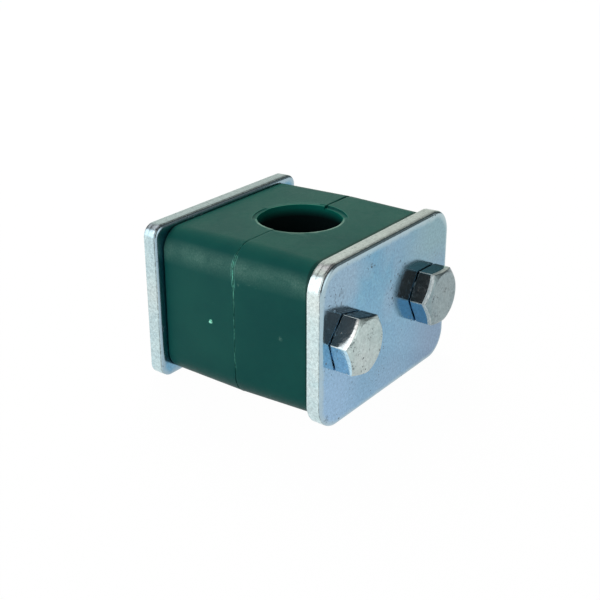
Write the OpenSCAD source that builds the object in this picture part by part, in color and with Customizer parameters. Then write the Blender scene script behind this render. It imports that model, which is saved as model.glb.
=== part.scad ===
// Light-series tube clamp: two moulded clamp halves held between a cover plate
// and a weld plate by two hexagon bolts. The origin is on the tube's axis, in the
// parting plane of the halves and halfway along the bore. X runs from bolt to bolt,
// +Y from the cover plate to the weld plate, and +Z along the tube.

/* [Tube] */
// Outside diameter of the tube that the clamp holds
tube_d = 16; // [12:0.1:17.2]

/* [Clamp halves] */
// Thickness of one half, from the parting plane to its plate
half_h = 16.5; // [15:0.1:20]
// Length of a half at its plate, across both bolts
half_len = 38.7; // [37:0.1:40]
// Width of a half at its plate, along the tube
half_wid = 28.4; // [26:0.1:29]
// Radius of the four long corners at the plate
half_corner_r = 4.3; // [3:0.1:7]
// Draft of the mould on all four sides
draft = 1.2; // [0.5:0.1:2]
// Bevel on the outer edge, next to the plate
half_edge = 0.4; // [0.2:0.05:0.8]
// Bevel on the parting edge, which leaves a fine groove when closed
seam_edge = 0.15; // [0.05:0.05:0.3]
// Width of the shallow ring around each mouth of the bore
rim_w = 0.8; // [0.3:0.05:1]
// Depth of that ring below the parting edge
rim_depth = 0.2; // [0.2:0.05:0.6]

/* [Cover plate] */
// Length of the cover plate
cover_len = 42; // [40:0.5:44]
// Width of the cover plate
cover_wid = 30; // [29:0.5:32]
// Thickness of the cover plate
cover_t = 3; // [2:0.1:4]
// Corner radius of the cover plate
cover_corner_r = 5; // [3:0.1:7]
// Radius rolled onto the front edge by the blanking press
cover_edge = 0.5; // [0.2:0.05:0.8]

/* [Weld plate] */
// Length of the weld plate
weld_len = 42; // [40:0.5:44]
// Width of the weld plate
weld_wid = 30; // [29:0.5:32]
// Thickness of the weld plate
weld_t = 3; // [2:0.1:4]
// Corner radius of the weld plate
weld_corner_r = 2.4; // [1.5:0.1:5]
// Radius rolled onto the inner edge by the blanking press
weld_edge = 0.3; // [0.1:0.05:0.8]

/* [Bolts] */
// Distance between the two bolts
bolt_pitch = 26; // [25.5:0.1:26.5]
// Diameter of the bolt's shank
bolt_d = 6; // [5:0.1:6.4]
// Length of the bolt under its head
bolt_len = 35; // [33:0.5:36]
// Width of the head across its flats
head_af = 10; // [9:0.1:11]
// Height of the head with its washer face
head_h = 4; // [3:0.1:5]
// Diameter of the circle that the chamfer leaves on top of the head
head_top_d = 9.4; // [8:0.1:10]
// Diameter of the washer face under the head
washer_face_d = 9.2; // [8.5:0.1:9.8]
// Thickness of the washer face
washer_face_t = 0.3; // [0.1:0.05:0.5]
// Bevel at the tip of the shank
tip_bevel = 0.7; // [0.3:0.1:1]
// Angle at which the left head came to rest
head_turn_left = 48; // [0:1:59]
// Angle at which the right head came to rest
head_turn_right = 58; // [0:1:59]

/* [Threaded bushes] */
// Outside diameter of the bush
bush_d = 10; // [9:0.1:11]
// Height of the bush above the weld plate
bush_h = 6.5; // [5:0.1:8]
// Bevel on the bush's rim
bush_bevel = 0.5; // [0.2:0.1:1]
// Diameter of the spigot set into the weld plate
spigot_d = 8.2; // [7.6:0.1:8.6]

/* [Clearances] */
// Between the shank and the cover plate's hole, on the radius
plate_hole_clear = 0.3; // [0.2:0.05:0.5]
// Between the shank and the halves' holes, on the radius
half_hole_clear = 0.35; // [0.2:0.05:0.5]
// Between the shank and the bush's thread, on the radius
thread_clear = 0.05; // [0.02:0.01:0.1]
// Between the bush and the recess it stands in, on the radius
recess_clear = 0.5; // [0.3:0.05:0.6]
// Between the top of the bush and the floor of the recess
recess_floor_clear = 0.5; // [0.3:0.1:1]
// Between the spigot and the weld plate's hole, on the radius
spigot_clear = 0.02; // [0.01:0.01:0.05]

/* [Hidden] */
$fn = 96;

// Extra length on each cut, so that it passes its face
over = 1;
// Growth of each side of a half from its plate to the parting plane
draft_grow = half_h * tan(draft);
// Half the width of the closed halves along the tube, at the parting plane
seam_half_wid = half_wid / 2 + draft_grow;
// Faces along the stack
cover_in_y = -half_h;
cover_out_y = -half_h - cover_t;
weld_in_y = half_h;
// Hole in a half and the recess in its outer face, which clears a bush
half_hole_d = bolt_d + 2 * half_hole_clear;
recess_d = bush_d + 2 * recess_clear;
recess_depth = bush_h + recess_floor_clear;

// Points of a quarter round of radius r, centred on (cx, cy), from angle a on
function quarter(cx, cy, r, a, n = 5) =
    [for (i = [0:n]) [cx + r * cos(a + 90 * i / n), cy + r * sin(a + 90 * i / n)]];

// A block with four rounded upright corners whose side follows an edge profile.
// Each point of the profile is [corner radius, height], from the bottom up, and the
// corners' centres stay at (+-cx, +-cy), so drafted sides end in true cones.
module edge_profiled_block(cx, cy, profile) {
    last = len(profile) - 1;
    bottom = profile[0][1];
    top = profile[last][1];
    for (sx = [-1, 1], sy = [-1, 1])
        translate([sx * cx, sy * cy, 0])
            rotate_extrude()
                polygon(concat([[0, bottom]], profile, [[0, top]]));
    rotate([90, 0, 0])
        linear_extrude(height = 2 * cy, center = true)
            polygon(both_sides(cx, profile));
    rotate([90, 0, 90])
        linear_extrude(height = 2 * cx, center = true)
            polygon(both_sides(cy, profile));
}

// The profile on the right of a block, and its mirror image back down the left
function both_sides(c, profile) =
    concat([for (p = profile) [c + p[0], p[1]]],
           [for (i = [len(profile) - 1:-1:0]) [-c - profile[i][0], profile[i][1]]]);

// Puts what is drawn along +Z onto the row's +Y
module along_stack() {
    rotate([-90, 0, 0]) children();
}

// One drafted moulding, on the +Y side of the parting plane
module clamp_half() {
    cx = half_len / 2 - half_corner_r;
    cy = half_wid / 2 - half_corner_r;
    r_seam = half_corner_r + draft_grow;
    difference() {
        along_stack()
            edge_profiled_block(cx, cy, [
                [r_seam - seam_edge, 0],
                [r_seam - seam_edge * tan(draft), seam_edge],
                [half_corner_r + half_edge * tan(draft), half_h - half_edge],
                [half_corner_r - half_edge, half_h]
            ]);
        tube_seat();
        for (sx = [-1, 1])
            translate([sx * bolt_pitch / 2, 0, 0])
                along_stack() {
                    translate([0, 0, -over])
                        cylinder(d = half_hole_d, h = half_h + 2 * over);
                    translate([0, 0, half_h - recess_depth])
                        cylinder(d = recess_d, h = recess_depth + over);
                }
    }
}

// The bore for the tube, with a shallow ring sunk around each mouth
module tube_seat() {
    rim_z = seam_half_wid - rim_depth;
    cylinder(d = tube_d, h = 2 * seam_half_wid + 2 * over, center = true);
    for (s = [-1, 1])
        translate([0, 0, s * (rim_z + over)])
            cylinder(d = tube_d + 2 * rim_w, h = 2 * over, center = true);
}

// A blanked plate, its rolled edge at the top and its lower edge sharp
module blanked_plate(length, width, thick, corner_r, edge) {
    edge_profiled_block(length / 2 - corner_r, width / 2 - corner_r,
        concat([[corner_r, 0]],
               quarter(corner_r - edge, thick - edge, edge, 0)));
}

module cover_plate() {
    color("lightsteelblue")
        difference() {
            translate([0, cover_in_y, 0])
                rotate([90, 0, 0])
                    blanked_plate(cover_len, cover_wid, cover_t, cover_corner_r, cover_edge);
            for (sx = [-1, 1])
                translate([sx * bolt_pitch / 2, cover_in_y + over, 0])
                    rotate([90, 0, 0])
                        cylinder(d = bolt_d + 2 * plate_hole_clear, h = cover_t + 2 * over);
        }
}

module weld_plate() {
    color("lightsteelblue")
        difference() {
            translate([0, weld_in_y + weld_t, 0])
                rotate([90, 0, 0])
                    blanked_plate(weld_len, weld_wid, weld_t, weld_corner_r, weld_edge);
            for (sx = [-1, 1])
                translate([sx * bolt_pitch / 2, weld_in_y - over, 0])
                    along_stack()
                        cylinder(d = spigot_d + 2 * spigot_clear, h = weld_t + 2 * over);
        }
}

// Turned bush: a bevelled barrel that stands on the plate and a spigot set into it
module threaded_bush() {
    bore_r = bolt_d / 2 + thread_clear;
    rotate_extrude()
        polygon([
            [bore_r + bush_bevel / 2, bush_h],
            [bore_r, bush_h - bush_bevel / 2],
            [bore_r, -weld_t],
            [spigot_d / 2, -weld_t],
            [spigot_d / 2, 0],
            [bush_d / 2, 0],
            [bush_d / 2, bush_h - bush_bevel],
            [bush_d / 2 - bush_bevel, bush_h]
        ]);
}

module placed_bush(side) {
    color("silver")
        translate([side * bolt_pitch / 2, weld_in_y, 0])
            rotate([90, 0, 0])
                threaded_bush();
}

// Hexagon bolt with its bearing face at z = 0 and its shank pointing down
module hex_bolt() {
    head_corner_r = head_af / 2 / cos(30);
    chamfer_h = (head_corner_r - head_top_d / 2) * tan(30);
    cylinder(d = washer_face_d, h = washer_face_t);
    intersection() {
        translate([0, 0, washer_face_t])
            cylinder(r = head_corner_r, h = head_h - washer_face_t, $fn = 6);
        rotate_extrude()
            polygon([
                [0, 0],
                [head_corner_r + over, 0],
                [head_corner_r + over, head_h - chamfer_h - over * tan(30)],
                [head_top_d / 2, head_h],
                [0, head_h]
            ]);
    }
    rotate_extrude()
        polygon([
            [0, washer_face_t],
            [bolt_d / 2, washer_face_t],
            [bolt_d / 2, tip_bevel - bolt_len],
            [bolt_d / 2 - tip_bevel, -bolt_len],
            [0, -bolt_len]
        ]);
}

module placed_bolt(side, turn) {
    color("gainsboro")
        translate([side * bolt_pitch / 2, cover_out_y, 0])
            rotate([90, 0, 0])
                rotate([0, 0, turn])
                    hex_bolt();
}

module bush_left() { placed_bush(-1); }
module bush_right() { placed_bush(1); }
module bolt_left() { placed_bolt(-1, head_turn_left); }
module bolt_right() { placed_bolt(1, head_turn_right); }

module clamp_half_back() {
    color("darkslategray") clamp_half();
}

// The same moulding, turned to face its twin
module clamp_half_front() {
    color("darkslategray") rotate([0, 0, 180]) clamp_half();
}

weld_plate();
bush_left();
bush_right();
clamp_half_back();
clamp_half_front();
cover_plate();
bolt_left();
bolt_right();
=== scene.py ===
"""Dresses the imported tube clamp: detailed pieces, materials, light and camera."""
import math

import bmesh
import bpy
from mathutils import Matrix, Vector, noise


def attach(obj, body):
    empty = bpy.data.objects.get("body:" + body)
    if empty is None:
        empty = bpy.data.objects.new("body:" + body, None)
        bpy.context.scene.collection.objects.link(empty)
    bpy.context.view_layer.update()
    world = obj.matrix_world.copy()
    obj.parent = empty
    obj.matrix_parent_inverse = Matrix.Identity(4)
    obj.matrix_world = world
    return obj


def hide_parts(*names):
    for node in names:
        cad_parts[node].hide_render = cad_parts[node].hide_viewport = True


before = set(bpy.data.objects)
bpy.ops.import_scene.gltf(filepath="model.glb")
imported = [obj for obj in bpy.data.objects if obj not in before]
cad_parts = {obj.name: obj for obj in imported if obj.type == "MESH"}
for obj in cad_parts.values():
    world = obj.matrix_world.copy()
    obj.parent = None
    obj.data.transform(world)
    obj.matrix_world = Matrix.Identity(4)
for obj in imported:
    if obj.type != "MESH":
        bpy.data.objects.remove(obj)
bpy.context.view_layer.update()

MM = 0.001
BOLT_X = 13.0           # each bolt's distance from the middle
HALF_H = 16.5           # parting plane to plate
COVER_OUT = -19.5       # front face of the cover plate, on Y
WELD_OUT = 19.5         # back face of the weld plate, on Y
TUBE_R = 8.0
THREAD_PITCH = 1.0


def mesh_object(name, bm, mats, angle=32.0):
    """Makes an object from a bmesh in millimetres, smooth with sharp edges kept."""
    bmesh.ops.recalc_face_normals(bm, faces=bm.faces)
    bmesh.ops.scale(bm, vec=(MM, MM, MM), verts=bm.verts)
    me = bpy.data.meshes.new(name)
    bm.to_mesh(me)
    bm.free()
    for p in me.polygons:
        p.use_smooth = True
    me.set_sharp_from_angle(angle=math.radians(angle))
    ob = bpy.data.objects.new(name, me)
    bpy.context.scene.collection.objects.link(ob)
    for m in mats:
        me.materials.append(m)
    return ob


def apply_modifiers(ob):
    dg = bpy.context.evaluated_depsgraph_get()
    me = bpy.data.meshes.new_from_object(ob.evaluated_get(dg))
    old = ob.data
    ob.modifiers.clear()
    ob.data = me
    me.name = ob.name
    bpy.data.meshes.remove(old)


def cut(ob, cutters):
    """Cuts each cutter out of ob and removes the cutters."""
    for c in cutters:
        m = ob.modifiers.new("cut", "BOOLEAN")
        m.operation = "DIFFERENCE"
        m.solver = "EXACT"
        m.object = c
    apply_modifiers(ob)
    for c in cutters:
        bpy.data.objects.remove(c)


def finish_edges(ob, width, segments=2, angle=40.0):
    """Small rounded edges, then normals that keep the flats flat."""
    b = ob.modifiers.new("edges", "BEVEL")
    b.width = width * MM
    b.segments = segments
    b.limit_method = "ANGLE"
    b.angle_limit = math.radians(angle)
    b.use_clamp_overlap = True
    b.harden_normals = False
    apply_modifiers(ob)
    for p in ob.data.polygons:
        p.use_smooth = True
    ob.data.set_sharp_from_angle(angle=math.radians(50))
    w = ob.modifiers.new("normals", "WEIGHTED_NORMAL")
    w.keep_sharp = True
    w.weight = 80
    apply_modifiers(ob)


def smooth(x, lo, hi):
    f = min(1.0, max(0.0, (x - lo) / (hi - lo)))
    return f * f * (3 - 2 * f)


def rough_at(x, y, z, scale):
    """Smooth noise of -1 to 1 at a point in millimetres, scale in waves a millimetre."""
    return noise.noise(Vector((x * scale + 17.3, y * scale + 5.1, z * scale - 9.7)))


def outline(cx, cz, n, step):
    """Points of a rounded rectangle as (centre x, centre z, outward normal x, z)."""
    pts = []
    corners = ((1, 1, 0), (-1, 1, 90), (-1, -1, 180), (1, -1, 270))
    for k, (sx, sz, a0) in enumerate(corners):
        for i in range(n + 1):
            a = math.radians(a0 + 90.0 * i / n)
            pts.append((sx * cx, sz * cz, math.cos(a), math.sin(a)))
        ex, ez = corners[(k + 1) % 4][0] * cx, corners[(k + 1) % 4][1] * cz
        m = max(1, round(math.hypot(ex - sx * cx, ez - sz * cz) / step))
        a = math.radians(a0 + 90.0)
        for i in range(1, m):
            f = i / m
            pts.append((sx * cx + (ex - sx * cx) * f, sz * cz + (ez - sz * cz) * f, math.cos(a), math.sin(a)))
    return pts


def loft_block(cx, cz, rings, n=24, step=0.3):
    """Closed block along Y. Each ring is a function of a point's x and z and outward
    normal that gives its distance from the corner's centre line and its y."""
    bm = bmesh.new()
    base = outline(cx, cz, n, step)
    rows = []
    for ring in rings:
        row = []
        for x, z, nx, nz in base:
            r, y = ring(x + 4 * nx, z + 4 * nz, nx, nz)
            row.append(bm.verts.new((x + r * nx, y, z + r * nz)))
        rows.append(row)
    m = len(base)
    for a, b in zip(rows, rows[1:]):
        for i in range(m):
            bm.faces.new((a[i], a[(i + 1) % m], b[(i + 1) % m], b[i]))
    bm.faces.new(rows[0])
    bm.faces.new(rows[-1])
    return bm


def revolve(profile, seg=128, axis="Z", closed=True):
    """Turns [(r, h), ...] about an axis; ends on the axis or is capped."""
    bm = bmesh.new()
    rings = []
    for r, h in profile:
        ring = []
        for i in range(seg):
            a = 2 * math.pi * i / seg
            x, y = r * math.cos(a), r * math.sin(a)
            ring.append(bm.verts.new((x, y, h) if axis == "Z" else (x, h, y)))
        rings.append(ring)
    pairs = list(zip(rings, rings[1:]))
    if closed == "loop":
        pairs.append((rings[-1], rings[0]))
    for a, b in pairs:
        for i in range(seg):
            bm.faces.new((a[i], a[(i + 1) % seg], b[(i + 1) % seg], b[i]))
    if closed is True:
        bm.faces.new(rings[0])
        bm.faces.new(rings[-1])
    return bm


def arc(cx, cy, r, a0, a1, n):
    return [(cx + r * math.cos(math.radians(a0 + (a1 - a0) * i / n)),
             cy + r * math.sin(math.radians(a0 + (a1 - a0) * i / n))) for i in range(n + 1)]


def moved(bm, matrix):
    bmesh.ops.transform(bm, matrix=matrix, verts=bm.verts)
    return bm


def join_bm(a, b):
    me = bpy.data.meshes.new("join")
    b.to_mesh(me)
    b.free()
    a.from_mesh(me)
    bpy.data.meshes.remove(me)
    return a


class Mat:
    """A node material with a Principled shader and a few short helpers."""

    def __init__(self, name):
        self.mat = bpy.data.materials.new(name)
        self.mat.use_nodes = True
        self.nt = self.mat.node_tree
        self.bsdf = self.nt.nodes["Principled BSDF"]
        tc = self.nt.nodes.new("ShaderNodeTexCoord")
        self.obj = tc.outputs["Object"]

    def link(self, a, b):
        self.nt.links.new(a, b)

    def node(self, kind, **inputs):
        n = self.nt.nodes.new(kind)
        for k, v in inputs.items():
            sock = n.inputs[k]
            if hasattr(v, "is_linked") or isinstance(v, bpy.types.NodeSocket):
                self.link(v, sock)
            else:
                sock.default_value = v
        return n

    def noise(self, scale, detail=3.0, rough=0.5, vec=None, distort=0.0):
        n = self.node("ShaderNodeTexNoise")
        self.link(vec or self.obj, n.inputs["Vector"])
        n.inputs["Scale"].default_value = scale
        n.inputs["Detail"].default_value = detail
        n.inputs["Roughness"].default_value = rough
        n.inputs["Distortion"].default_value = distort
        return n.outputs["Fac"]

    def stretch(self, sx, sy, sz, shift=(0, 0, 0)):
        m = self.node("ShaderNodeMapping")
        self.link(self.obj, m.inputs["Vector"])
        m.inputs["Scale"].default_value = (sx, sy, sz)
        m.inputs["Location"].default_value = shift
        return m.outputs["Vector"]

    def remap(self, value, a, b, c=0.0, d=1.0):
        m = self.node("ShaderNodeMapRange")
        self.link(value, m.inputs["Value"])
        for k, v in (("From Min", a), ("From Max", b), ("To Min", c), ("To Max", d)):
            m.inputs[k].default_value = v
        return m.outputs["Result"]

    def math(self, op, a, b=0.0, c=None):
        m = self.nt.nodes.new("ShaderNodeMath")
        m.operation = op
        for i, v in enumerate((a, b, c)):
            if v is None:
                continue
            if isinstance(v, bpy.types.NodeSocket):
                self.link(v, m.inputs[i])
            else:
                m.inputs[i].default_value = v
        return m.outputs[0]

    def mix(self, fac, a, b):
        m = self.nt.nodes.new("ShaderNodeMix")
        m.data_type = "RGBA"
        for sock, v in ((m.inputs[0], fac), (m.inputs[6], a), (m.inputs[7], b)):
            if isinstance(v, bpy.types.NodeSocket):
                self.link(v, sock)
            else:
                sock.default_value = (*v, 1.0) if isinstance(v, tuple) else v
        return m.outputs[2]

    def bump(self, height, strength, distance=0.0001, normal=None):
        b = self.node("ShaderNodeBump")
        self.link(height, b.inputs["Height"])
        b.inputs["Strength"].default_value = strength
        b.inputs["Distance"].default_value = distance
        if normal is not None:
            self.link(normal, b.inputs["Normal"])
        return b.outputs["Normal"]

    def far(self, place):
        """Distance in metres from a place on the object."""
        v = self.nt.nodes.new("ShaderNodeVectorMath")
        v.operation = "DISTANCE"
        self.link(self.obj, v.inputs[0])
        v.inputs[1].default_value = place
        return v.outputs["Value"]

    def axis(self, name):
        s = self.node("ShaderNodeSeparateXYZ")
        self.link(self.obj, s.inputs[0])
        return s.outputs[name]


def edge_distance(m, cx, cz, r):
    """Distance in metres from a plate's outline, positive inside its corner bands."""
    x = m.math("MAXIMUM", m.math("SUBTRACT", m.math("ABSOLUTE", m.axis("X")), cx * MM), 0.0)
    z = m.math("MAXIMUM", m.math("SUBTRACT", m.math("ABSOLUTE", m.axis("Z")), cz * MM), 0.0)
    length = m.math("SQRT", m.math("ADD", m.math("MULTIPLY", x, x), m.math("MULTIPLY", z, z)))
    return m.math("SUBTRACT", r * MM, length)


def dots(m, scale, size, share, cluster, seed):
    """Small round marks in scattered cells, thicker where the cluster noise is high."""
    v = m.node("ShaderNodeTexVoronoi")
    m.link(m.stretch(1, 1, 1, (seed, seed * 0.7, -seed)), v.inputs["Vector"])
    v.inputs["Scale"].default_value = scale
    s = m.node("ShaderNodeSeparateXYZ")
    m.link(v.outputs["Color"], s.inputs[0])
    dot = m.remap(v.outputs["Distance"], size, size * 0.55)
    some = m.remap(s.outputs["X"], 1 - share, 1 - share + 0.02)
    return m.math("MULTIPLY", m.math("MULTIPLY", dot, some), cluster)


def zinc(name, tints, rough, grain=1.0, streak=None, pits=0.0, border=None, line=None, low=(),
         metal=1.0, scars=()):
    """Bright zinc plating: cloudy tint, fine pits, soft orange peel, and painted shading that makes
    the colour lighter towards -X and darker towards +X. border = (centre x, centre z, radius, tint)
    pales the rim of a face, line = (y, width) of a dark line round the rim, low = [(tint, from z,
    to z, amount, from x, to x), ...] of painted reflection and shade on parts of a face, where the last two may
    be left out."""
    m = Mat(name)
    b = m.bsdf
    b.inputs["Metallic"].default_value = metal
    cloud = m.remap(m.noise(330, 5, 0.62, distort=0.8), 0.34, 0.66)
    wide = m.remap(m.noise(85, 3, 0.5), 0.40, 0.66)
    col = m.mix(cloud, tints[0], tints[1])
    col = m.mix(wide, col, tints[2])
    for tint, z0, z1, amount, *sides in low:
        part = m.remap(m.axis("Z"), z0 * MM, z1 * MM, 0.0, amount)
        if sides:
            part = m.math("MULTIPLY", part, m.remap(m.axis("X"), sides[0] * MM, sides[1] * MM))
        col = m.mix(part, col, tint)
    mottle = m.remap(m.noise(1900, 4, 0.7), 0.3, 0.7, 1.0 - 0.20 * grain, 1.0 + 0.16 * grain)
    scaled = m.nt.nodes.new("ShaderNodeVectorMath")
    scaled.operation = "SCALE"
    m.link(col, scaled.inputs[0])
    # Painted shading: the colour is scaled lighter towards -X and darker towards +X.
    m.link(m.math("MULTIPLY", mottle, m.remap(m.axis("X"), -0.020, 0.020, 1.12, 0.89)), scaled.inputs["Scale"])
    col = scaled.outputs[0]
    r = m.math("MULTIPLY_ADD", m.noise(1500, 4, 0.65), 0.14 * grain, rough - 0.07 * grain)
    n = m.bump(m.noise(420, 3, 0.5), 0.07 * grain, 0.0002)
    n = m.bump(m.noise(4600, 4, 0.65), 0.16 * grain, 0.00004, n)
    if border:
        cx, cz, rad, tint = border
        d = edge_distance(m, cx, cz, rad)
        d = m.math("SUBTRACT", d, m.remap(m.axis("Z"), 0.0095, 0.0130, 0.0, 0.0004))
        wave = m.math("MULTIPLY_ADD", m.noise(500, 3, 0.6), 0.0010, -0.0005)
        band = m.remap(m.math("ADD", d, wave), 0.0012, 0.0004)
        col = m.mix(m.math("MULTIPLY", band, 0.68), col, tint)
        r = m.math("MULTIPLY_ADD", band, 0.08, r)
    if pits:
        where = m.remap(m.noise(150, 3, 0.55), 0.50, 0.62)
        small = dots(m, 2300, 0.34, 0.18 * pits, m.math("MULTIPLY_ADD", where, 0.95, 0.05), 0.013)
        large = dots(m, 1250, 0.36, 0.13 * pits, where, 0.041)
        marks = m.math("MAXIMUM", small, large)
        if pits > 2:
            dents = m.remap(m.noise(1150, 2, 0.5, distort=1.2), 0.63, 0.70)
            marks = m.math("MAXIMUM", marks, m.math("MULTIPLY", dents, m.remap(m.noise(260, 1, 0.5), 0.44, 0.56)))
        col = m.mix(m.math("MULTIPLY", marks, 0.80), col, (0.03, 0.042, 0.055))
        n = m.bump(m.math("MULTIPLY", marks, -1.0), 0.7, 0.00008, n)
    for x, z, size in scars:
        spot = m.remap(m.far((x * MM, COVER_OUT * MM, z * MM)), size * MM, size * 0.4 * MM)
        cuts = m.remap(m.noise(900, 3, 0.6, vec=m.stretch(2.2, 1.0, 0.9, (z * 0.1, 0, 0))), 0.52, 0.60)
        col = m.mix(m.math("MULTIPLY", m.math("MULTIPLY", spot, cuts), 0.65), col, (0.06, 0.085, 0.10))
    if streak:
        lines = m.noise(1100, 4, 0.65, vec=m.stretch(*streak))
        n = m.bump(lines, 0.40, 0.00005, n)
        col = m.mix(m.remap(lines, 0.60, 0.74, 0.0, 0.35 * grain), col, (0.20, 0.24, 0.26))
    if line:
        y, width = line
        off = m.math("ABSOLUTE", m.math("SUBTRACT", m.axis("Y"), y * MM))
        off = m.math("MULTIPLY", off, m.remap(m.axis("Z"), 0.0105, 0.0142, 2.2, 0.8 / width))
        wave = m.math("MULTIPLY", m.noise(1300, 4, 0.7), 0.00030)
        dark = m.remap(m.math("ADD", off, wave), 0.00048, 0.00020)
        broken = m.remap(m.noise(1400, 3, 0.6), 0.38, 0.55, 0.40, 1.0)
        col = m.mix(m.math("MULTIPLY", dark, m.math("MULTIPLY", broken, 0.85)), col, (0.07, 0.075, 0.075))
    m.link(col, b.inputs["Base Color"])
    m.link(r, b.inputs["Roughness"])
    m.link(n, b.inputs["Normal"])
    return m.mat


def green_plastic():
    """Moulded polypropylene: satin, faintly grained, scuffed pale along its upper long edges, a band that is
    partly a painted sheen.
    """
    m = Mat("clamp_green")
    b = m.bsdf
    ax, ay, az = (m.math("ABSOLUTE", m.axis(k)) for k in "XYZ")
    cloud = m.remap(m.noise(70, 4, 0.55), 0.35, 0.68)
    col = m.mix(cloud, (0.0016, 0.052, 0.046), (0.0040, 0.067, 0.054))
    mottle = m.remap(m.noise(2600, 4, 0.7), 0.62, 0.80)
    col = m.mix(m.math("MULTIPLY", mottle, 0.32), col, (0.02, 0.12, 0.09))

    grain = m.remap(m.noise(3800, 5, 0.75), 0.44, 0.66)
    patch = m.remap(m.noise(190, 3, 0.6), 0.40, 0.60, 0.5, 1.0)
    # The pale band on the upper long edges is partly wear and partly a painted sheen. The spots and wisps added
    # to it are wear.
    fillet = m.math("MULTIPLY", m.remap(ax, 0.0172, 0.0186), m.remap(m.axis("Z"), 0.0080, 0.0104))
    fillet = m.math("MULTIPLY", fillet, m.remap(az, 0.0129, 0.0113))
    depth = edge_distance(m, 15.05, 9.9, 4.646)
    fillet = m.math("MULTIPLY", fillet, m.remap(depth, 0.0007, 0.0005))
    worn_and_sheen = m.math("MULTIPLY", m.math("MULTIPLY_ADD", grain, 0.55, 0.45), m.math("MULTIPLY", patch, fillet))
    wisps = m.remap(m.noise(420, 5, 0.7, vec=m.stretch(1.0, 0.30, 1.0)), 0.655, 0.74)
    some = m.remap(m.noise(90, 2, 0.5), 0.50, 0.60)
    wisps = m.math("MULTIPLY", m.math("MULTIPLY", wisps, some), 0.55)
    rubbed_and_sheen = m.math("MAXIMUM", m.math("MULTIPLY", worn_and_sheen, 0.80), wisps)
    for place, size in (((-0.0196, -0.0100, 0.0001), 0.0006), ((-0.01965, -0.0011, 0.0080), 0.00035)):
        rubbed_and_sheen = m.math("MAXIMUM", rubbed_and_sheen, m.math("MULTIPLY", m.remap(m.far(place), size, size * 0.3), grain))
    col = m.mix(rubbed_and_sheen, col, (0.09, 0.19, 0.152))

    long_bits = m.remap(m.noise(480, 3, 0.6), 0.42, 0.58)
    fine_bits = m.remap(m.noise(2100, 3, 0.6), 0.38, 0.56, 0.3, 1.0)
    outside = m.remap(depth, 0.00026, 0.00016)
    high = m.math("MULTIPLY", m.remap(m.axis("Z"), 0.0015, 0.0062), m.remap(m.axis("Z"), 0.0137, 0.0126))
    high = m.math("MULTIPLY", high, outside)
    share = m.math("MAXIMUM", high, m.math("MULTIPLY", long_bits, 0.55))
    wander = m.math("MULTIPLY_ADD", m.noise(420, 4, 0.65), 0.00050, -0.00025)
    off = m.math("ABSOLUTE", m.math("ADD", m.axis("Y"), wander))
    seam = m.math("MULTIPLY", m.remap(off, 0.00012, 0.00006), m.math("MULTIPLY", share, fine_bits))
    second = m.math("ABSOLUTE", m.math("ADD", off, -0.00032))
    second = m.math("MULTIPLY", m.remap(second, 0.00008, 0.00003), m.math("MULTIPLY", high, long_bits))
    seam = m.math("MAXIMUM", seam, m.math("MULTIPLY", second, 0.45))
    seam = m.math("MULTIPLY", m.math("MULTIPLY", seam, outside), m.remap(m.axis("X"), -0.0150, -0.0172))
    shade = m.math("MULTIPLY", m.remap(off, 0.00034, 0.00016), m.math("MULTIPLY", high, 0.6))
    shade = m.math("MULTIPLY", shade, m.remap(m.axis("X"), -0.0150, -0.0172))
    col = m.mix(shade, col, (0.001, 0.028, 0.024))
    col = m.mix(seam, col, (0.15, 0.52, 0.40))

    rr = m.math("SQRT", m.math("ADD", m.math("MULTIPLY", m.axis("X"), m.axis("X")),
                               m.math("MULTIPLY", m.axis("Y"), m.axis("Y"))))
    # Painted light and shade in the bore: a brighter green band in the top 1.5 mm or so of its wall, then the
    # wall below painted near black.
    mouth = m.math("MULTIPLY", m.remap(rr, 0.00816, 0.00806), m.remap(az, 0.0126, 0.0138))
    col = m.mix(m.math("MULTIPLY", mouth, 0.65), col, (0.001, 0.105, 0.075))
    deep_painted_shade = m.math("MULTIPLY", m.remap(rr, 0.00816, 0.00806), m.remap(az, 0.0137, 0.0121))
    col = m.mix(m.math("MULTIPLY", deep_painted_shade, 0.95), col, (0.002, 0.0035, 0.004))
    # Painted highlight: a pale line round the bore's mouth on the top face, wider and paler on the side towards
    # the camera (near), and a fainter pale line on the ring's outer edge on the far side.
    near = m.math("ADD", m.math("MULTIPLY", m.axis("X"), -0.81), m.math("MULTIPLY", m.axis("Y"), -0.59))
    highlight_breakup = m.remap(m.noise(600, 3, 0.6), 0.3, 0.6, 0.45, 1.0)
    level = m.math("MULTIPLY_ADD", ay, 0.0209, az)
    level = m.remap(level, 0.01442, 0.01449)
    lip = m.math("MULTIPLY", m.remap(rr, 0.00818, 0.00804), level)
    low_side = m.math("MULTIPLY", m.remap(rr, 0.00838, 0.00822), m.remap(near, -0.0010, 0.0030))
    lip = m.math("MAXIMUM", lip, m.math("MULTIPLY", low_side, level))
    arc_line = m.math("MULTIPLY", m.remap(m.math("ABSOLUTE", m.math("SUBTRACT", rr, 0.00886)), 0.00011, 0.00004),
                      m.math("MULTIPLY", level, m.remap(near, 0.0020, -0.0020)))
    lip = m.math("MAXIMUM", lip, m.math("MULTIPLY", arc_line, 0.6))
    pale = m.mix(m.remap(near, -0.0010, 0.0030), (0.03, 0.20, 0.15), (0.16, 0.27, 0.23))
    col = m.mix(m.math("MULTIPLY", m.math("MULTIPLY", lip, highlight_breakup), 0.85), col, pale)

    # Painted shade: the front half is darkened from about 1.5 mm off the cover plate up to it, the band starting
    # a little further out along the top.
    y = m.math("SUBTRACT", m.axis("Y"), m.remap(m.axis("Z"), 0.0110, 0.0136, 0.0, 0.00025))
    col = m.mix(m.remap(y, -0.01500, -0.01525, 0.0, 0.58), col, (0.0005, 0.012, 0.010))
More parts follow.
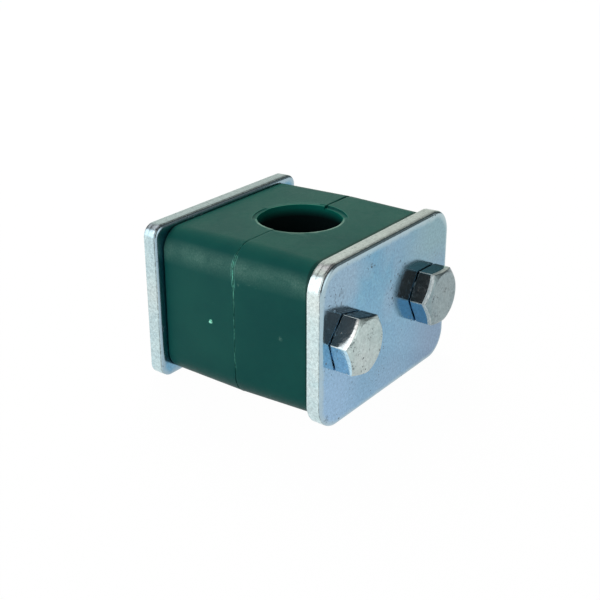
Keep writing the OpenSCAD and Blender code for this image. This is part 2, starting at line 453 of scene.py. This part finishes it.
    # Painted highlight: the gate nub is painted pale green.
    gate = m.far((-0.01972, 0.00546, -0.00071))
    col = m.mix(m.remap(gate, 0.00046, 0.00030), col, (0.30, 0.78, 0.58))
    m.link(col, b.inputs["Base Color"])

    r = m.math("MULTIPLY_ADD", m.noise(900, 4, 0.6), 0.16, 0.27)
    r = m.math("MULTIPLY_ADD", m.noise(110, 3, 0.6), 0.12, r)
    m.link(m.math("MULTIPLY_ADD", rubbed_and_sheen, 0.15, r), b.inputs["Roughness"])
    n = m.bump(m.noise(260, 2, 0.5), 0.08, 0.0002)
    n = m.bump(m.noise(3600, 5, 0.7), 0.22, 0.00004, n)
    n = m.bump(grain, 0.25, 0.00003, n)
    m.link(n, b.inputs["Normal"])
    b.inputs["Specular IOR Level"].default_value = 0.078
    return m.mat


BLUE = ((0.175, 0.37, 0.505), (0.140, 0.318, 0.465), (0.245, 0.372, 0.485))
PALE = ((0.61, 0.73, 0.74), (0.53, 0.68, 0.70), (0.67, 0.74, 0.72))
# FAR is a darker copy of PALE for the weld plate's rims, a painted shade.
FAR = ((0.51, 0.64, 0.66), (0.44, 0.58, 0.62), (0.55, 0.64, 0.64))
# Painted shade on the rims' top faces: tinted darker and less green than the rest of the rim.
RIM_TOP_PAINTED_SHADE = [((0.585, 0.575, 0.625), 14.0, 14.6, 0.85)]
FAR_TOP_PAINTED_SHADE = [((0.45, 0.50, 0.58), 14.0, 14.6, 0.9)]
# Painted reflection on the cover face: lighter and bluer low down, most of all on the -X side, greyer high on the
# +X side and darker low on the +X side.
COVER_FACE = zinc("cover_face", BLUE, 0.12, 1.0, pits=1.2, border=(16, 10, 5.0, (0.46, 0.58, 0.61)),
                  scars=((-19.7, -9.2, 1.1), (-19.2, -12.6, 0.9), (-16.0, 8.2, 2.4)),
                  low=[((0.25, 0.42, 0.59), 9, -13, 0.8), ((0.245, 0.40, 0.445), 3, 9, 0.85, 3, 14),
                       ((0.22, 0.325, 0.465), 1, -6, 0.85, 6, 15), ((0.29, 0.45, 0.63), 1, -7, 0.8, -8, -15)])
WELD_FACE = zinc("weld_face", BLUE, 0.16, 1.0, pits=1.0, border=(18.6, 12.6, 2.4, (0.42, 0.52, 0.56)))
COVER_RIM = zinc("cover_rim", PALE, 0.26, 1.3, pits=0.7, line=(-19.12, 0.5), streak=(1.0, 0.25, 1.0), low=RIM_TOP_PAINTED_SHADE)
WELD_RIM = zinc("weld_rim", FAR, 0.26, 1.3, pits=0.8, line=(16.95, 1.15), streak=(1.0, 0.25, 1.0), low=FAR_TOP_PAINTED_SHADE)
HEAD_TOPS = [zinc("head_top_" + k, v, 0.30, 1.1, pits=2.4) for k, v in (
    ("l", ((0.44, 0.53, 0.52), (0.36, 0.46, 0.46), (0.47, 0.54, 0.53))),
    ("r", ((0.27, 0.35, 0.37), (0.21, 0.29, 0.32), (0.30, 0.37, 0.38))))]
# Painted reflection: the lower half of each head's sides is tinted blue like the plate it reflects. The right
# head's sides also get a pale cyan band along the top.
HEAD_SIDES = [zinc("head_side_" + k, v, 0.13, 1.2, pits=0.4, streak=(1.0, 0.15, 1.0), low=w) for k, v, w in (
    ("l", ((0.62, 0.64, 0.62), (0.52, 0.55, 0.55), (0.66, 0.66, 0.63)), [((0.47, 0.68, 0.80), 1.4, 1.1, 1.0)]),
    ("r", ((0.62, 0.52, 0.45), (0.54, 0.48, 0.43), (0.60, 0.53, 0.48)), [((0.24, 0.47, 0.65), 0.4, 0.1, 1.0),
                                                                 ((0.54, 0.90, 0.95), 4.85, 4.95, 1.0)]))]
THREAD = zinc("thread_zinc", ((0.60, 0.63, 0.64), (0.52, 0.56, 0.58), (0.62, 0.63, 0.60)), 0.22, 0.8)
BUSH = zinc("bush_zinc", ((0.60, 0.63, 0.65), (0.54, 0.58, 0.62), (0.62, 0.63, 0.62)), 0.24, 1.0)
HEAD_EDGE = zinc("head_edge", ((0.80, 0.86, 0.84), (0.66, 0.75, 0.75), (0.82, 0.86, 0.83)), 0.42, 0.9, metal=0.35)
GREEN = green_plastic()


def clamp_half(name, node, body, turned, rim_depth):
    """One drafted moulding. Its seam edge opens towards one side and carries thin flash,
    and the ring round each mouth of its bore is deeper over part of the arc."""
    half_len, half_wid, corner_r, draft = 38.7, 28.4, 4.3, math.tan(math.radians(1.2))
    cx, cz = half_len / 2 - corner_r, half_wid / 2 - corner_r
    outer_r = 0.4
    open_side = -1 if turned else 1

    def wall(y):
        return corner_r + (HALF_H - y) * draft

    def gap(x):
        return 0.012 + 0.15 * smooth(x * open_side, 5.0, 15.0)

    def edge_r(x):
        return 0.11 + 0.10 * smooth(x * open_side, 4.0, 14.0)

    def flash(x, z, nx):
        """Height of the thin flash, most of it on the closed side and its corners."""
        if turned or nx > -0.15:
            return 0.0
        h = 0.62 + 0.7 * rough_at(x, 0, z, 0.55) + 0.55 * rough_at(x, 4, z, 2.3)
        return 0.070 * max(0.0, min(1.3, h)) * smooth(-nx, 0.15, 0.5)

    def seam_ring(angle):
        s, c = math.sin(math.radians(angle)), math.cos(math.radians(angle))

        def ring(x, z, nx, nz):
            e = edge_r(x)
            y = gap(x) + e - e * c
            return wall(0) - e + e * s + flash(x, z, nx) * (1 - s) * 1.6, y
        return ring

    def lip(x, z, nx, nz):
        h = flash(x, z, nx)
        e = edge_r(x)
        return wall(0) - e * (1.0 if h < 0.004 else 0.0) + h, gap(x) * (0.5 if h > 0.004 else 1.0)

    def more_depth(a):
        if turned:
            return 0.36 * smooth(a, 118, 140)
        return 0.30 * smooth(a, 74, 92) * (1 - smooth(a, 122, 136))

    def straight(y):
        return lambda x, z, nx, nz: (wall(y), y)

    def outer(angle):
        s, c = math.sin(math.radians(angle)), math.cos(math.radians(angle))
        return lambda x, z, nx, nz: (corner_r - outer_r + outer_r * c, HALF_H - outer_r + outer_r * s)

    rings = [lambda x, z, nx, nz: (wall(0) - 0.9, 0.0),
             lambda x, z, nx, nz: (wall(0) - 0.75, gap(x))]
    rings += [lip] + [seam_ring(a) for a in (18, 40, 62, 90)]
    rings += [straight(y) for y in (0.6, 2.0, 4.5, 7.5, 10.5, 13.5, 15.6)]
    rings += [outer(a) for a in (0, 18, 36, 54, 72, 90)]
    ob = mesh_object(name, loft_block(cx, cz, rings, 26, 0.28), [GREEN])
    top = half_wid / 2 + HALF_H * draft
    floor_z, ring_r, lip_r, bore_r = top - rim_depth, TUBE_R + 0.8, 0.07, TUBE_R - 0.06
    side = [(bore_r, 0)] + arc(bore_r + lip_r, floor_z - lip_r, lip_r, 180, 90, 6)
    side += [(ring_r - 0.05, floor_z), (ring_r, floor_z + 0.05), (ring_r + 0.02, floor_z + 3)]
    cutter = revolve([(r, -z) for r, z in reversed(side[1:])] + side, 192)
    for v in cutter.verts:
        if abs(v.co.z) > floor_z - lip_r - 0.01:
            a = math.degrees(math.atan2(v.co.y, v.co.x))
            more = more_depth(a) if v.co.z > 0 else more_depth(180 - a)
            v.co.z -= math.copysign(more, v.co.z)
    bore = mesh_object("bore", cutter, [])
    holes = []
    for sx in (-1, 1):
        hole = revolve([(3.35, -1), (3.35, HALF_H - 7), (5.5, HALF_H - 7), (5.5, HALF_H + 1)], 72, "Y")
        holes.append(mesh_object("hole", moved(hole, Matrix.Translation((sx * BOLT_X, 0, 0))), []))
    cut(ob, [bore] + holes)
    if not turned:
        gate_mark(ob)
    finish_edges(ob, 0.06, 2, 60)
    if turned:
        ob.data.transform(Matrix.Rotation(math.pi, 4, "Z"))
    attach(ob, body)
    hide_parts(node)
    return ob


def gate_mark(ob):
    """The torn nub that the mould's gate leaves on the side of the half."""
    bm = bmesh.new()
    bmesh.ops.create_uvsphere(bm, u_segments=24, v_segments=12, radius=1.0)
    for v in bm.verts:
        k = 1 + 0.18 * rough_at(v.co.x, v.co.y, v.co.z, 1.3)
        v.co = Vector((v.co.x * 0.30, v.co.y * 0.36 * k, v.co.z * 0.25 * k))
    y, z = 5.46, -0.71
    x = -(38.7 / 2 + (HALF_H - y) * math.tan(math.radians(1.2)))
    moved(bm, Matrix.Translation((x - 0.04, y, z)))
    nub = mesh_object("nub", bm, [])
    m = ob.modifiers.new("nub", "BOOLEAN")
    m.operation = "UNION"
    m.solver = "EXACT"
    m.object = nub
    apply_modifiers(ob)
    bpy.data.objects.remove(nub)


def plate(name, node, body, mats, y_in, y_out, corner_r, roll, hole_r):
    """A blanked plate: die roll on the y_out side, then a burnished and a torn band.
    roll = (reach over the face, depth down the side)."""
    length, width, t = 42.0, 30.0, 3.0
    s = 1 if y_out > y_in else -1
    cx, cz = length / 2 - corner_r, width / 2 - corner_r
    reach, depth = roll

    def torn(k, base, wave):
        def ring(x, z, nx, nz):
            n = rough_at(x, k, z, 1.1)
            f = rough_at(x, k * 3, z, 4.0)
            return corner_r - base - 0.012 * (1 + f), y_in + s * (k + wave * n)
        return ring

    def at(r, k):
        return lambda x, z, nx, nz: (r, y_in + s * k)

    rings = [at(corner_r - 0.13, 0.0), at(corner_r - 0.075, 0.03)]
    rings += [torn(0.10, 0.035, 0.0), torn(0.45, 0.03, 0.05), torn(0.80, 0.028, 0.06)]
    rings += [torn(1.02, 0.024, 0.10), torn(1.10, 0.0, 0.10)]
    rings += [at(corner_r, k) for k in (1.35, 1.8, t - depth - 0.07)]
    rings += [at(corner_r - 0.035, t - depth - 0.035)]
    for a in (0, 9, 18, 28, 38, 48, 58, 68, 79, 90):
        c, sn = math.cos(math.radians(a)), math.sin(math.radians(a))
        rings.append(at(corner_r - 0.01 - (reach - 0.01) * (1 - c ** 0.85), t - depth + depth * sn ** 1.15))
    ob = mesh_object(name, loft_block(cx, cz, rings, 24, 0.35), mats)
    cutters = []
    for sx in (-1, 1):
        lo, hi = min(y_in, y_out), max(y_in, y_out)
        e = 0.25
        c = revolve([(hole_r + e + 1, lo - 1), (hole_r, lo + e), (hole_r, hi - e), (hole_r + e + 1, hi + 1)],
                    96, "Y")
        cutters.append(mesh_object("hole", moved(c, Matrix.Translation((sx * BOLT_X, 0, 0))), []))
    cut(ob, cutters)
    finish_edges(ob, 0.04, 2, 60)
    for p in ob.data.polygons:
        p.material_index = 0 if abs(p.normal.y) > 0.5 else 1
    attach(ob, body)
    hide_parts(node)
    return ob


EXTERNAL = ((0.0, 3.0), (0.125, 3.0), (0.4375, 2.44), (0.5625, 2.40), (0.6875, 2.44))
INTERNAL = ((0.0, 3.05), (0.125, 3.05), (0.40, 2.56), (0.5625, 2.56), (0.725, 2.56))


def thread_wall(profile, z0, z1, core0, core1, fade, seg=48):
    """Open threaded wall about Z between two plain rims, right-handed, phase zero at z = 0."""
    bm = bmesh.new()
    p = THREAD_PITCH
    t0 = math.floor(z0 / p) - 1
    turns = math.ceil(z1 / p) - t0 + 1
    rows = [(p * (t0 + t + ph), r) for t in range(turns) for ph, r in profile]
    k = len(profile)
    grid = []
    for zb, r in rows:
        row = []
        for j in range(seg):
            z = zb + p * j / seg
            zc = min(max(z, z0), z1)
            up = min(1.0, (zc - z0) / fade[0]) if fade[0] else float(zc > z0)
            dn = min(1.0, (z1 - zc) / fade[1]) if fade[1] else float(zc < z1)
            rr = r
            rr = core0 + (rr - core0) * up
            rr = core1 + (rr - core1) * dn
            a = 2 * math.pi * j / seg
            row.append(bm.verts.new((rr * math.cos(a), rr * math.sin(a), zc)))
        grid.append(row)
    for i in range(len(grid) - k - 1):
        for j in range(seg):
            b, c = (grid[i][j + 1], grid[i + 1][j + 1]) if j + 1 < seg else (grid[i + k][0], grid[i + k + 1][0])
            try:
                bm.faces.new((grid[i][j], b, c, grid[i + 1][j]))
            except ValueError:
                pass
    bmesh.ops.remove_doubles(bm, verts=bm.verts, dist=1e-5)
    bmesh.ops.dissolve_degenerate(bm, dist=1e-5, edges=bm.edges)
    loose = [v for v in bm.verts if not v.link_faces]
    bmesh.ops.delete(bm, geom=loose, context="VERTS")
    return bm


def ring_faces(bm, profile, seg, cap_first=False, cap_last=False):
    """Adds rings of revolution to bm, to be merged with what is there."""
    rings = []
    for r, h in profile:
        rings.append([bm.verts.new((r * math.cos(2 * math.pi * i / seg), r * math.sin(2 * math.pi * i / seg), h))
                      for i in range(seg)])
    for a, b in zip(rings, rings[1:]):
        for i in range(seg):
            bm.faces.new((a[i], a[(i + 1) % seg], b[(i + 1) % seg], b[i]))
    if cap_first:
        bm.faces.new(rings[0])
    if cap_last:
        bm.faces.new(rings[-1])


def hex_outline(af, corner, n_arc, n_flat):
    """Points of a hexagon with slightly rounded corners, one vertex pointing to +X."""
    inner = (af / 2 - corner) / math.cos(math.pi / 6)
    pts = []
    for k in range(6):
        a = math.radians(60 * k)
        c = (inner * math.cos(a), inner * math.sin(a))
        for i in range(n_arc + 1):
            b = a + math.radians(-30 + 60 * i / n_arc)
            pts.append((c[0] + corner * math.cos(b), c[1] + corner * math.sin(b)))
        b = a + math.radians(30)
        c2 = (inner * math.cos(a + math.pi / 3), inner * math.sin(a + math.pi / 3))
        p, q = pts[-1], (c2[0] + corner * math.cos(b), c2[1] + corner * math.sin(b))
        for i in range(1, n_flat):
            f = i / n_flat
            pts.append((p[0] + (q[0] - p[0]) * f, p[1] + (q[1] - p[1]) * f))
    return pts


def bolt_head(bm, edge_mat):
    """Hexagon head: chamfer cone, rolled arrises, washer face. Material 0 top, 1 sides."""
    af, top_r, head_h, wash_r, wash_t = 10.0, 4.7, 4.0, 4.7, 0.2
    n_arc, n_flat = 6, 14
    out = hex_outline(af, 0.19, n_arc, n_flat)
    rad = [math.hypot(*p) for p in out]
    tan30 = math.tan(math.radians(30))

    def ring(f):
        return [bm.verts.new(f(p, r)) for p, r in zip(out, rad)]

    def at(r2, z):
        return lambda p, r: (p[0] * r2 / r, p[1] * r2 / r, z)

    def wall_top(r):
        return head_h - max(0.0, r - top_r) * tan30

    rings = [ring(at(0.6, head_h - 0.06)), ring(at(2.0, head_h - 0.05)), ring(at(3.4, head_h - 0.02)),
             ring(at(4.2, head_h - 0.005)), ring(at(top_r - 0.14, head_h)),
             ring(at(top_r + 0.02, head_h - 0.03))]
    edge = 0.06
    for f in (0.35, 0.7):
        rings.append(ring(lambda p, r, f=f: (
            p[0] * (top_r + (r - edge - top_r) * f) / r, p[1] * (top_r + (r - edge - top_r) * f) / r,
            wall_top(top_r + (r - edge - top_r) * f) - 0.02)))
    rings.append(ring(lambda p, r: (p[0] * (r - edge) / r, p[1] * (r - edge) / r, wall_top(r - edge))))
    rings.append(ring(lambda p, r: (p[0] * (r - edge * 0.3) / r, p[1] * (r - edge * 0.3) / r,
                                    wall_top(r) - edge * 0.22)))
    rings.append(ring(lambda p, r: (p[0], p[1], wall_top(r) - edge * 0.9)))
    for f in (0.25, 0.5, 0.75):
        rings.append(ring(lambda p, r, f=f: (p[0], p[1], wall_top(r) * (1 - f) + (wash_t + 0.15) * f)))
    rings.append(ring(lambda p, r: (p[0], p[1], wash_t + 0.05)))
    rings.append(ring(lambda p, r: (p[0] * (r - 0.05) / r, p[1] * (r - 0.05) / r, wash_t)))
    rings.append(ring(at(wash_r, wash_t)))
    rings.append(ring(at(wash_r - 0.02, 0.0)))
    m = len(out)

    def m_base(k):
        return k == len(rings) - 4

    first = bm.faces.new(rings[0])
    first.material_index = 0
    for k, (a, b) in enumerate(zip(rings, rings[1:])):
        for i in range(m):
            f = bm.faces.new((a[i], a[(i + 1) % m], b[(i + 1) % m], b[i]))
            arris = i % (n_arc + n_flat) < n_arc
            f.material_index = 0 if k < 9 else (3 if arris or m_base(k) else (edge_mat if k < 11 else 1))
    last = bm.faces.new(rings[-1])
    last.material_index = 1


def bolt(name, node, body, sx, turn, head_top, head_side):
    length, seg = 35.0, 48
    bm = thread_wall(EXTERNAL, -length + 0.75, -2.6, 2.42, 2.62, (0.5, 1.2), seg)
    ring_faces(bm, [(2.62, -2.6), (2.62, -0.5), (3.1, 0.2)], seg, cap_last=True)
    ring_faces(bm, [(2.25, -length), (2.35, -length + 0.3), (2.42, -length + 0.75)], seg, cap_first=True)
    bmesh.ops.remove_doubles(bm, verts=bm.verts, dist=1e-4)
    for f in bm.faces:
        f.material_index = 2
    head = bmesh.new()
    bolt_head(head, 1 if sx < 0 else 3)
    moved(head, Matrix.Rotation(math.radians(turn), 4, "Z"))
    bm = join_bm(bm, head)
    bmesh.ops.recalc_face_normals(bm, faces=bm.faces)
    moved(bm, Matrix.Translation((sx * BOLT_X, COVER_OUT, 0)) @ Matrix.Rotation(math.pi / 2, 4, "X"))
    ob = mesh_object(name, bm, [head_top, head_side, THREAD, HEAD_EDGE], 40)
    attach(ob, body)
    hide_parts(node)
    return ob


def bush(name, node, sx):
    """Turned bush with its inner thread in step with the bolt's."""
    seg = 48
    z_top, z_bot = COVER_OUT - 10.0, COVER_OUT - WELD_OUT      # along the bolt's own axis
    shoulder = COVER_OUT - HALF_H
    bm = thread_wall(INTERNAL, z_bot + 0.5, z_top - 0.5, 3.08, 3.08, (0.4, 0.4), seg)
    ring_faces(bm, [(3.08, z_top - 0.5), (3.55, z_top - 0.02), (3.62, z_top), (4.55, z_top), (4.75, z_top - 0.08),
                    (4.96, z_top - 0.35), (5.0, z_top - 0.5), (5.0, shoulder + 0.1), (4.9, shoulder),
                    (4.1, shoulder), (4.1, z_bot + 0.15), (4.0, z_bot + 0.02), (3.95, z_bot), (3.5, z_bot),
                    (3.42, z_bot + 0.04), (3.08, z_bot + 0.5)], seg)
    bmesh.ops.remove_doubles(bm, verts=bm.verts, dist=1e-4)
    moved(bm, Matrix.Translation((sx * BOLT_X, COVER_OUT, 0)) @ Matrix.Rotation(math.pi / 2, 4, "X"))
    ob = mesh_object(name, bm, [BUSH], 40)
    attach(ob, "base")
    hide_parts(node)
    return ob


clamp_half("half_back", "clamp_half_back", "base", False, 0.03)
clamp_half("half_front", "clamp_half_front", "cover", True, 0.12)
plate("cover_sheet", "cover_plate", "cover", [COVER_FACE, COVER_RIM], -16.5, -19.5, 5.0, (0.8, 0.5), 3.3)
plate("weld_sheet", "weld_plate", "base", [WELD_FACE, WELD_RIM], 19.5, 16.5, 2.4, (0.7, 0.4), 4.12)
bolt("bolt_l_zinc", "bolt_left", "bolt_l", -1, 48, HEAD_TOPS[0], HEAD_SIDES[0])
bolt("bolt_r_zinc", "bolt_right", "bolt_r", 1, 58, HEAD_TOPS[1], HEAD_SIDES[1])
bush("bush_l_zinc", "bush_left", -1)
bush("bush_r_zinc", "bush_right", 1)


def light_path(nt):
    return nt.nodes.new("ShaderNodeLightPath")


def build_floor():
    bpy.ops.mesh.primitive_plane_add(size=3.0, location=(0, 0, -0.015))
    ob = bpy.context.object
    ob.name = "floor"
    mat = bpy.data.materials.new("floor")
    mat.use_nodes = True
    nt = mat.node_tree
    nt.nodes.clear()
    out = nt.nodes.new("ShaderNodeOutputMaterial")
    dif = nt.nodes.new("ShaderNodeBsdfDiffuse")
    dif.inputs["Color"].default_value = (0.80, 0.82, 0.84, 1)
    emi = nt.nodes.new("ShaderNodeEmission")
    emi.inputs["Color"].default_value = (1, 1, 1, 1)
    emi.inputs["Strength"].default_value = 1.0
    lp = light_path(nt)
    mix = nt.nodes.new("ShaderNodeMixShader")
    share = None
    for ray, part in (("Is Camera Ray", 0.985), ("Is Glossy Ray", 0.85), ("Is Transmission Ray", 0.85)):
        n = nt.nodes.new("ShaderNodeMath")
        n.operation = "MULTIPLY_ADD"
        n.use_clamp = True
        nt.links.new(lp.outputs[ray], n.inputs[0])
        n.inputs[1].default_value = part
        if share:
            nt.links.new(share, n.inputs[2])
        else:
            n.inputs[2].default_value = 0.0
        share = n.outputs[0]
    nt.links.new(share, mix.inputs[0])
    nt.links.new(dif.outputs[0], mix.inputs[1])
    nt.links.new(emi.outputs[0], mix.inputs[2])
    nt.links.new(mix.outputs[0], out.inputs["Surface"])
    ob.data.materials.append(mat)
    return ob


def build_world():
    world = bpy.data.worlds.new("studio")
    bpy.context.scene.world = world
    world.use_nodes = True
    nt = world.node_tree
    nt.nodes.clear()
    out = nt.nodes.new("ShaderNodeOutputWorld")
    tc = nt.nodes.new("ShaderNodeTexCoord")
    direction = tc.outputs["Generated"]

    def lobe(vec, inner, outer, color, power):
        v = Vector(vec).normalized()
        dot = nt.nodes.new("ShaderNodeVectorMath")
        dot.operation = "DOT_PRODUCT"
        nt.links.new(direction, dot.inputs[0])
        dot.inputs[1].default_value = v
        mr = nt.nodes.new("ShaderNodeMapRange")
        mr.interpolation_type = "SMOOTHSTEP"
        mr.inputs["From Min"].default_value = math.cos(math.radians(outer))
        mr.inputs["From Max"].default_value = math.cos(math.radians(inner))
        nt.links.new(dot.outputs["Value"], mr.inputs["Value"])
        sc = nt.nodes.new("ShaderNodeVectorMath")
        sc.operation = "SCALE"
        sc.inputs[0].default_value = [c * power for c in color]
        nt.links.new(mr.outputs["Result"], sc.inputs["Scale"])
        return sc.outputs[0]

    def add(a, b):
        n = nt.nodes.new("ShaderNodeVectorMath")
        n.operation = "ADD"
        nt.links.new(a, n.inputs[0])
        nt.links.new(b, n.inputs[1])
        return n.outputs[0]

    # Pale walls low down, soft boxes left, behind, overhead and in front, dark between them
    light = lobe((0, 0, -1), 60, 100, (0.92, 0.98, 1.0), 0.75)
    light = add(light, lobe((0.77, 0.52, 0.24), 12, 42, (0.71, 0.80, 0.68), 0.95))
    light = add(light, lobe((0.05, 0.45, 0.89), 14, 27, (1.0, 1.0, 0.94), 0.85))
    light = add(light, lobe((-0.80, 0.50, 0.22), 34, 41, (0.95, 0.99, 1.04), 1.6))
    light = add(light, lobe((0.0, -0.97, 0.20), 14, 38, (1.0, 1.0, 0.98), 1.5))
    light = add(light, lobe((-0.70, 0.08, 0.70), 10, 24, (1.0, 1.0, 1.0), 1.2))
    light = add(light, lobe((-0.38, -0.54, 0.75), 8, 26, (0.09, 0.08, 0.075), 1.0))
    light = add(light, lobe((0, 0, 1), 170, 180, (0.075, 0.075, 0.075), 1.0))
    light = add(light, lobe((0.75, -0.54, 0.385), 5, 15, (0.17, 0.20, 0.19), 1.0))
    bg_light = nt.nodes.new("ShaderNodeBackground")
    nt.links.new(light, bg_light.inputs["Color"])
    bg_cam = nt.nodes.new("ShaderNodeBackground")
    bg_cam.inputs["Color"].default_value = (1, 1, 1, 1)
    lp = light_path(nt)
    m2 = nt.nodes.new("ShaderNodeMixShader")
    nt.links.new(lp.outputs["Is Camera Ray"], m2.inputs[0])
    nt.links.new(bg_light.outputs[0], m2.inputs[1])
    nt.links.new(bg_cam.outputs[0], m2.inputs[2])
    nt.links.new(m2.outputs[0], out.inputs["Surface"])


def area(name, loc, target, size, power, color=(1, 1, 1), glossy=True):
    d = bpy.data.lights.new(name, "AREA")
    d.shape = "RECTANGLE"
    d.size, d.size_y = size
    d.energy = power
    d.color = color
    ob = bpy.data.objects.new(name, d)
    bpy.context.scene.collection.objects.link(ob)
    ob.location = loc
    ob.rotation_euler = (Vector(target) - Vector(loc)).to_track_quat("-Z", "Y").to_euler()
    ob.visible_glossy = glossy
    return ob


def build_camera():
    cam = bpy.data.cameras.new("camera")
    cam.sensor_width = 36.0
    cam.sensor_fit = "HORIZONTAL"
    cam.lens = 1088.33 / 600.0 * 36.0
    cam.clip_start = 0.005
    cam.clip_end = 20.0
    ob = bpy.data.objects.new("camera", cam)
    bpy.context.scene.collection.objects.link(ob)
    right = Vector((0.58777367, -0.80902398, -0.00151976))
    view = Vector((0.74276284, 0.54037615, -0.39534414))
    up = right.cross(view)
    m = Matrix((right, up, -view)).transposed().to_4x4()
    m.translation = Vector((-0.153272, -0.111476, 0.0795895))
    ob.matrix_world = m
    bpy.context.scene.camera = ob


build_floor()
build_world()
area("top", (0.30, 0.35, 0.42), (0, 0, 0), (0.35, 0.35), 4.4, (1.0, 0.98, 0.86), False)
area("left", (-0.52, 0.0, 0.11), (0, 0, 0), (0.4, 0.3), 0.62, (0.88, 0.97, 1.06), False)
build_camera()
bpy.context.scene.view_settings.view_transform = "Standard"
